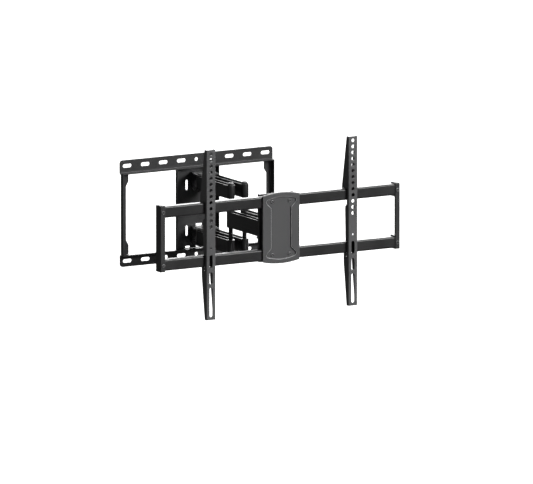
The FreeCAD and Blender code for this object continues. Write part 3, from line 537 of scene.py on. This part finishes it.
def grow(name, tree, slot, points, edges=(), **values):
    # runs a tree on seed points: floats are millimetres, turns, seeds and finishes go in as given
    seeds = bpy.data.meshes.new(name)
    seeds.from_pydata([tuple(p) for p in points], list(edges), [])
    thing = newThing(name, seeds)
    modifier = thing.modifiers.new("grow", "NODES")
    modifier.node_group = tree
    values = {"Finish": coats[slot], **values}
    for item in tree.interface.items_tree:
        if item.item_type == "SOCKET" and item.in_out == "INPUT" and item.name in values:
            value = values[item.name]
            modifier[item.identifier] = value * mm if isinstance(value, float) else value
    return asPlainMesh(thing)


ringTree = makeRingTree()
barTree = makeBarTree(ringTree)
panTree = makeHeadTree("panHead", crowns["pan"])
pinTree = makeHeadTree("pinHead", crowns["pin"])
weldTree = makeWeldTree()
print("geometry trees ready")


# Folding arms: six bent bars, and the bolts, pins, washers and spacers in their joints.

def middle(node):
    low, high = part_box(node)
    return (low + high) / 2


def extent(node):
    low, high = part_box(node)
    return high - low


arms = dict(thickness=3.0, corner=0.8, boss=7.5, bore=4.05)
for node in sorted(n for n in frame["nodes"] if "arm_" in n):
    size = extent(node)
    turnRadius = size.x / 2 / mm
    bar = grow(node + "_bar", barTree, "black_steel", [middle(node)],
               Reach=size.y / mm - 2 * turnRadius, Round=turnRadius, Thickness=arms["thickness"],
               Height=size.z / mm, Corner=arms["corner"], Boss=arms["boss"], Bore=arms["bore"])
    finishPiece(bar, [node])
print("arms bent")


def joinPieces(name, things):
    shape = bmesh.new()
    for thing in things:
        shape.from_mesh(thing.data)
        bpy.data.objects.remove(thing)
    return newThing(name, meshFrom(shape, name))


def headSpots(node, part, lowerTop=None):
    # under each head of a row of upright pins: the outer ones lie a head's radius inside the box
    low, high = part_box(node)
    reach = part["radius"] * mm
    tops = [high.z] + ([lowerTop] if lowerTop is not None else [])
    lefts = sorted({round(low.x + reach, 6), round(high.x - reach, 6)})
    return [(x, (low.y + high.y) / 2, top - part["rise"] * mm) for top in tops for x in lefts]


def headSizes(part):
    return {key.capitalize(): part[key] for key in ("radius", "rise", "socket", "depth", "shank")}


def turnedRings(name, slot, spots, outer, height, inner, corner):
    return grow(name, ringTree, slot, spots, Inner=inner, Outer=outer, Height=height, Corner=corner)


pins = dict(radius=6.5, rise=2.5, socket=1.6, depth=0.7, shank=4.0, ring=1.2, tail=1.0, corner=0.3)


def hingePins(node, spots, length):
    # pins with a low head on top and a retaining ring below
    name = node + "_turned"
    heads = grow(name + "_heads", pinTree, "black_fastener", spots, Length=length,
                 **headSizes(pins))
    low = length - pins["tail"] - pins["ring"] / 2
    ringSpots = [(x, y, z - low * mm) for x, y, z in spots]
    rings = turnedRings(name + "_rings", "black_fastener", ringSpots, pins["radius"], pins["ring"],
                        pins["shank"], pins["corner"])
    finishPiece(joinPieces(name, [heads, rings]), [node])


upperFork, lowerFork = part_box("wall_bracket_upper"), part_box("wall_bracket_lower")
forkPin = (upperFork[1].z - upperFork[0].z) / mm + pins["ring"] + pins["tail"]
lowerPinTop = lowerFork[1].z + pins["rise"] * mm
hingePins("wall_hinge_pins", headSpots("wall_hinge_pins", pins, lowerPinTop), forkPin)
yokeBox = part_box("head_yoke")
yokePin = (yokeBox[1].z - yokeBox[0].z) / mm + pins["ring"] + pins["tail"]
for node in ("head_hinge_pins", "swivel_pin"):
    hingePins(node, headSpots(node, pins), yokePin)

elbows = dict(radius=7.2, rise=4.5, socket=3.0, depth=2.5, shank=4.0)
washers = dict(outer=8.5, height=1.4, inner=4.05, corner=0.35)
spacers = dict(outer=5.25, inner=4.05, corner=0.3)
washerGap = 0.05  # play above and below a washer
for hand in ("left", "right"):
    bolt = "elbow_bolt_" + hand
    boltLength = extent(bolt).z / mm - elbows["rise"]
    finishPiece(grow(bolt + "_turned", panTree, "black_fastener", headSpots(bolt, elbows),
                     Length=boltLength, **headSizes(elbows)), [bolt])
    centre = middle(bolt)
    upper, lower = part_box(f"upper_arm_{hand}_top"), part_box(f"upper_arm_{hand}_bottom")
    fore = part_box("forearm_" + hand)
    half = washers["height"] / 2 * mm + washerGap * mm
    levels = [upper[1].z + half, fore[1].z + half, fore[0].z - half, lower[0].z - half]
    spots = [(centre.x, centre.y, z) for z in levels]
    finishPiece(turnedRings(f"elbow_washers_{hand}_turned", "black_nylon", spots, **washers),
                ["elbow_washers_" + hand])
    tubes = []
    spans = ((fore[1].z + 2 * half, upper[0].z), (lower[1].z, fore[0].z - 2 * half))
    for number, (low, high) in enumerate(spans):
        spots = [(centre.x, centre.y, (low + high) / 2)]
        tubes.append(turnedRings(f"spacer_{hand}_{number}", "black_steel", spots,
                                 height=(high - low) / mm, **spacers))
    finishPiece(joinPieces(f"elbow_spacers_{hand}_turned", tubes), ["elbow_spacers_" + hand])

low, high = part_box("head_washers")
reach, inset = washers["outer"] * mm, washers["height"] / 2 * mm
washerSpots = [(x, (low.y + high.y) / 2, z) for x in (low.x + reach, high.x - reach)
               for z in (low.z + inset, high.z - inset)]
finishPiece(turnedRings("head_washers_turned", "black_nylon", washerSpots, **washers),
            ["head_washers"])
print("pins, bolts, washers and spacers turned")


# Screws of the head and the television frame.

def screwRow(node, tree, part, turn, seats, length):
    row = grow(node + "_turned", tree, "black_fastener", seats, Length=length, Turn=turn,
               **headSizes(part))
    return finishPiece(row, [node])


railHeights = [middle("rail_bottom").z, middle("rail_top").z]
headScrews = dict(radius=4.3, rise=2.2, socket=2.9, depth=2.0, shank=3.0)
endScrews = dict(radius=4.5, rise=2.2, socket=2.0, depth=1.3, shank=2.5)
for node, part in (("head_screws", headScrews), ("end_screws", endScrews)):
    low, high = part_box(node)
    x = high.x - part["radius"] * mm
    seats = [(side * x, low.y + part["rise"] * mm, z) for side in (-1, 1) for z in railHeights]
    screwRow(node, panTree, part, (math.pi / 2, 0.0, 0.0), seats,
             (high.y - low.y) / mm - part["rise"])

tiltBolts = dict(radius=5.5, rise=4.5, socket=2.5, depth=2.5, shank=3.0, length=20.0)
low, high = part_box("tilt_bolts")
sides = []
for number, side in enumerate((-1, 1)):
    seat = (side * (high.x - tiltBolts["rise"] * mm), (low.y + high.y) / 2, (low.z + high.z) / 2)
    sides.append(grow(f"tilt_bolt_{number}", pinTree, "black_fastener", [seat],
                      Length=tiltBolts["length"], Turn=(0.0, side * math.pi / 2, 0.0),
                      **headSizes(tiltBolts)))
finishPiece(joinPieces("tilt_bolts_turned", sides), ["tilt_bolts"])

lockScrews = dict(radius=4.2, rise=4.0, socket=2.0, depth=2.0, shank=2.5)
for hand in ("left", "right"):
    node = "lock_screw_" + hand
    low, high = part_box(node)
    centre = middle(node)
    seats = [(centre.x, centre.y, low.z + lockScrews["rise"] * mm)]
    screwRow(node, pinTree, lockScrews, (math.pi, 0.0, 0.0), seats,
             (high.z - low.z) / mm - lockScrews["rise"])
print("screws driven")


# Weld beads, in short stitches along the seams that the arms hang on.

def stitches(start, finish, count):
    start, finish = Vector(start), Vector(finish)
    step = (finish - start) / count
    share = welds["share"]
    points, edges = [], []
    for number in range(count):
        first = start + step * (number + (1 - share) / 2)
        edges.append((len(points), len(points) + 1))
        points += [first, first + step * share]
    return points, edges


def weld(name, body, seams, radius, seed):
    points, edges = [], []
    for start, finish, count in seams:
        more, pairs = stitches(start, finish, count)
        edges += [(a + len(points), b + len(points)) for a, b in pairs]
        points += more
    bead = grow(name, weldTree, "black_steel", points, edges, Radius=radius,
                Step=radius * welds["step"], Seed=seed)
    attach(bead, body)


welds = dict(
    frameBead=1.5, headBead=1.1, share=0.6, step=0.75,  # share of a seam that is bead; drop spacing
    sheet=2.5, backingSide=14.4, backingEnd=2.0, backingSink=0.5, edgeSink=0.4, columnEnd=0.6,
    columnFrom=30.0, columnTo=56.0, sideInset=3.0, sideLength=16.0,
    yokeHalf=14.0, yokeAhead=14.4, yokeInset=0.4, earSide=33.6, earFrom=6.0, earTo=12.0)
at = {key: value * mm for key, value in welds.items()}
columnLow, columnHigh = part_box("wall_column")
face = columnHigh.y - at["sheet"]
seams = []
for fork in (upperFork, lowerFork):
    for side in (-1, 1):
        x, y = side * at["backingSide"], face - at["backingSink"]
        ends = fork[0].z + at["backingEnd"], fork[1].z - at["backingEnd"]
        seams.append(((x, y, ends[0]), (x, y, ends[1]), 3))
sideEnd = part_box("wall_side_right")[1].x - at["sideInset"]
for z in (columnHigh.z - at["columnEnd"], columnLow.z + at["columnEnd"]):
    y = face - at["edgeSink"]
    for side in (-1, 1):
        seams.append(((side * at["columnFrom"], y, z), (side * at["columnTo"], y, z), 1))
        seams.append(((side * sideEnd, y, z), (side * (sideEnd - at["sideLength"]), y, z), 1))
weld("frame_welds", "wall_frame", seams, welds["frameBead"], 11)

webFront = middle("head_hinge_pins").y - at["yokeAhead"]
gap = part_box("head_washers")
yokeSeams = [((-at["yokeHalf"], webFront, z), (at["yokeHalf"], webFront, z), 2)
             for z in (gap[0].z + at["yokeInset"], gap[1].z - at["yokeInset"])]
weld("yoke_welds", "yoke", yokeSeams, welds["headBead"], 12)
earHeight = middle("tilt_bolts").z
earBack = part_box("rail_top")[1].y + at["sheet"]
earSeams = [((side * at["earSide"], earBack, earHeight + way * at["earFrom"]),
             (side * at["earSide"], earBack, earHeight + way * at["earTo"]), 1)
            for side in (-1, 1) for way in (-1, 1)]
weld("head_welds", "head", earSeams, welds["headBead"], 13)
print("weld beads laid")


# Front plate of the head: pressed sheet with a rounded rim, a turned-back edge and a sunken
# spool-shaped panel.

# the plate's rounded border takes a share of the lighter edge tone, and the first rows of the
# recess slope take all of it as a painted highlight
plate = dict(arch=6.0, corner=3.0, edgeRound=1.4, wall=1.3, panelHalf=41.0, panelSide=69.5,
             panelArch=7.0, waist=27.5, shoulder=63.0, neck=50.0, panelCorner=4.0, sink=3.0,
             slope=2.6, around=240, arcSteps=24, filletSteps=6, roundSteps=5, slopeSteps=10,
             straight=math.radians(8), roundWearAndSheen=0.2, paintedHighlightRows=4)


def arcTo(start, finish, bulge):
    # points along a shallow arc from start to finish, bowed by bulge to its right
    chord = finish - start
    side = Vector((chord.y, -chord.x)).normalized()
    shares = [i / plate["arcSteps"] for i in range(plate["arcSteps"])]
    return [start + chord * t + side * bulge * (4 * t * (1 - t)) for t in shares]


def filleted(points, radius):
    # rounds the corners of a closed outline
    rounded = []
    for i, here in enumerate(points):
        before, after = points[i - 1] - here, points[(i + 1) % len(points)] - here
        turn = math.pi - before.angle(after)
        if turn < plate["straight"]:
            rounded.append(here)
            continue
        cut = radius * math.tan(turn / 2)
        first, last = here + before.normalized() * cut, here + after.normalized() * cut
        for step in range(plate["filletSteps"] + 1):
            t = step / plate["filletSteps"]
            rounded.append(first.lerp(here, t).lerp(here.lerp(last, t), t))
    return rounded


def evenly(points, count):
    # the same closed outline with count points, evenly spaced from the first
    lengthsAlong = [0.0]
    for i, here in enumerate(points):
        lengthsAlong.append(lengthsAlong[-1] + (points[(i + 1) % len(points)] - here).length)
    result, i = [], 0
    for k in range(count):
        target = lengthsAlong[-1] * k / count
        while lengthsAlong[i + 1] < target:
            i += 1
        share = (target - lengthsAlong[i]) / (lengthsAlong[i + 1] - lengthsAlong[i])
        result.append(points[i].lerp(points[(i + 1) % len(points)], share))
    return result


def rimOutline(half, side):
    corners = [Vector((x, y)) for x, y in
               ((half, -side), (half, side), (-half, side), (-half, -side))]
    lower = arcTo(corners[3], corners[0], plate["arch"])
    upper = arcTo(corners[1], corners[2], plate["arch"])
    middleStep = plate["arcSteps"] // 2  # an outline starts and ends at the middle of its lower arc
    return lower[middleStep:] + [corners[0]] + upper + [corners[2]] + lower[:middleStep]


def panelOutline():
    half, side, waist = plate["panelHalf"], plate["panelSide"], plate["waist"]
    shoulder, neck = plate["shoulder"], plate["neck"]
    right = [Vector((x, y)) for x, y in
             ((half, -side), (half, -shoulder), (waist, -neck), (waist, neck), (half, shoulder))]
    left = [Vector((-x, y)) for x, y in reversed(right)]
    lower = arcTo(Vector((-half, -side)), right[0], plate["panelArch"])
    upper = arcTo(Vector((half, side)), Vector((-half, side)), plate["panelArch"])
    middleStep = plate["arcSteps"] // 2
    return (lower[middleStep:] + right + upper + [Vector((-half, side))] + left[:-1]
            + lower[:middleStep])


def inward(outline, distance):
    count = len(outline)
    moved = []
    for i, here in enumerate(outline):
        along = outline[(i + 1) % count] - outline[i - 1]
        moved.append(here + Vector((-along.y, along.x)).normalized() * distance)
    return moved


def pressedPlate(node):
    low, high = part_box(node)
    depth = (high.y - low.y) / mm
    half = (high.x - low.x) / 2 / mm
    side = (high.z - low.z) / 2 / mm - plate["arch"]
    rim = evenly(filleted(rimOutline(half, side), plate["corner"]), plate["around"])
    panel = evenly(filleted(panelOutline(), plate["panelCorner"]), plate["around"])
    r = plate["edgeRound"]
    loops = [(rim, 0.0, depth)]
    for step in range(plate["roundSteps"] + 1):
        angle = step / plate["roundSteps"] * math.pi / 2
        loops.append((rim, r * (1 - math.cos(angle)), r * (1 - math.sin(angle))))
    border = len(loops) - 1
    for step in range(plate["slopeSteps"] + 1):
        t = step / plate["slopeSteps"]
        fall = t - math.sin(2 * math.pi * t) / (2 * math.pi)
        loops.append((panel, plate["slope"] * (t - 0.5), plate["sink"] * fall))
    centre = (low + high) / 2
    shape = bmesh.new()
    rimLayer = shape.faces.layers.float.new("rim")
    rows = []
    for outline, inset, fall in loops:
        rows.append([shape.verts.new((centre.x + p.x * mm, low.y + fall * mm, centre.z + p.y * mm))
                     for p in inward(outline, inset)])
    for number, (outer, inner) in enumerate(zip(rows, rows[1:])):
        # rounded border rows: a little of the edge tone, wear and painted highlight; top rows of
        # the recess slope: a painted highlight around the recess
        wearAndHighlight = 0.0
        if 1 <= number < border:
            wearAndHighlight = plate["roundWearAndSheen"]
        elif border < number <= border + plate["paintedHighlightRows"]:
            wearAndHighlight = 1.0
        for i in range(plate["around"]):
            j = (i + 1) % plate["around"]
            made = shape.faces.new((outer[i], outer[j], inner[j], inner[i]))
            made[rimLayer] = wearAndHighlight
            made.smooth = number != border  # the flat border stays flat, as does the sunken panel
    shape.faces.new(rows[-1])
    thing = newThing(node + "_pressed", meshFrom(shape, node + "_pressed"))
    wall = thing.modifiers.new("wall", "SOLIDIFY")
    wall.thickness = plate["wall"] * mm
    wall.offset = -1
    wall.use_even_offset = True
    thing.modifiers.new("shade", "WEIGHTED_NORMAL")
    return finishPiece(asPlainMesh(thing), [node])


pressedPlate("head_front_plate")
print("front plate pressed")


# Floor, light and camera.

stage = dict(floorBelow=1.1, floorHalf=30.0, floorTone=0.80, floorRough=0.9, floorGlow=0.62,
             sky=0.12, backdrop=1.1)
suns = [  # name, direction it comes from, strength, angle in degrees
    ("softSun", (0.48, -0.74, 0.46), 3.0, 26.0),
    ("frontFill", (-0.04, -0.99, -0.12), 1.5, 13.0),
    ("recessFill", (0.48, -0.76, 0.40), 1.1, 13.0),
]
softboxes = [  # direction, cosine where the glow starts, cosine where it is full, strength
    ((0.50, 0.85, 0.22), 0.80, 0.97, 7.5),
    ((0.30, -0.10, 0.95), 0.80, 0.97, 1.2),
]
view = dict(azimuth=-30.0, elevation=10.0, distance=40.0, widthSeen=1.308, clipEnd=200.0,
            aim=(0.0835, -0.2025, -0.0657))

floorMesh = bpy.data.meshes.new("floor")
edge, drop = stage["floorHalf"], cadLow.z - stage["floorBelow"]
floorCorners = [(x * edge, y * edge, drop) for x, y in ((-1, -1), (1, -1), (1, 1), (-1, 1))]
floorMesh.from_pydata(floorCorners, [], [(0, 1, 2, 3)])
floor = newThing("floor", floorMesh)
pale = bpy.data.materials.new("pale_floor")
pale.use_nodes = True
paleShader = pale.node_tree.nodes["Principled BSDF"]
paleShader.inputs["Base Color"].default_value = (*[stage["floorTone"]] * 3, 1)
paleShader.inputs["Roughness"].default_value = stage["floorRough"]
paleShader.inputs["Specular IOR Level"].default_value = 0.0
paleShader.inputs["Emission Color"].default_value = (1, 1, 1, 1)
paleShader.inputs["Emission Strength"].default_value = stage["floorGlow"]
floorMesh.materials.append(pale)
floor.visible_diffuse = floor.visible_glossy = False


def makeSky():
    world = bpy.data.worlds.new("softSky")
    bpy.context.scene.world = world
    world.use_nodes = True
    tree = world.node_tree
    direction = put(tree, "ShaderNodeTexCoord").outputs["Generated"]
    level = stage["sky"]
    for towards, start, full, strength in softboxes:
        facing = put(tree, "ShaderNodeVectorMath",
                     {0: direction, 1: Vector(towards).normalized()}, operation="DOT_PRODUCT")
        glow = put(tree, "ShaderNodeMapRange",
                   {"Value": facing.outputs["Value"], "From Min": start, "From Max": full,
                    "To Max": strength}, interpolation_type="SMOOTHSTEP")
        level = reckon(tree, "ADD", glow.outputs["Result"], level)
    seen = put(tree, "ShaderNodeLightPath").outputs["Is Camera Ray"]
    backdrop = put(tree, "ShaderNodeMix", {"A": level}, data_type="FLOAT")
    backdrop.inputs["B"].default_value = stage["backdrop"]
    tree.links.new(seen, backdrop.inputs["Factor"])
    tree.links.new(backdrop.outputs["Result"], tree.nodes["Background"].inputs["Strength"])
    tree.nodes["Background"].inputs["Color"].default_value = (1, 1, 1, 1)


makeSky()
for name, source, strength, angle in suns:
    sunData = bpy.data.lights.new(name, "SUN")
    sunData.energy = strength
    sunData.angle = math.radians(angle)
    sun = newThing(name, sunData)
    sun.rotation_mode = "QUATERNION"
    sun.rotation_quaternion = Vector(source).to_track_quat("Z", "Y")

cameraData = bpy.data.cameras.new("camera")
cameraData.lens = cameraData.sensor_width * view["distance"] / view["widthSeen"]
cameraData.clip_end = view["clipEnd"]
camera = newThing("camera", cameraData)
turn, rise = math.radians(view["azimuth"]), math.radians(view["elevation"])
back = Vector((math.sin(turn) * math.cos(rise), -math.cos(turn) * math.cos(rise), math.sin(rise)))
camera.location = Vector(view["aim"]) + back * view["distance"]
camera.rotation_mode = "QUATERNION"
camera.rotation_quaternion = back.to_track_quat("Z", "Y")
bpy.context.scene.camera = camera
bpy.context.scene.view_settings.view_transform = "Standard"
print("stage set")
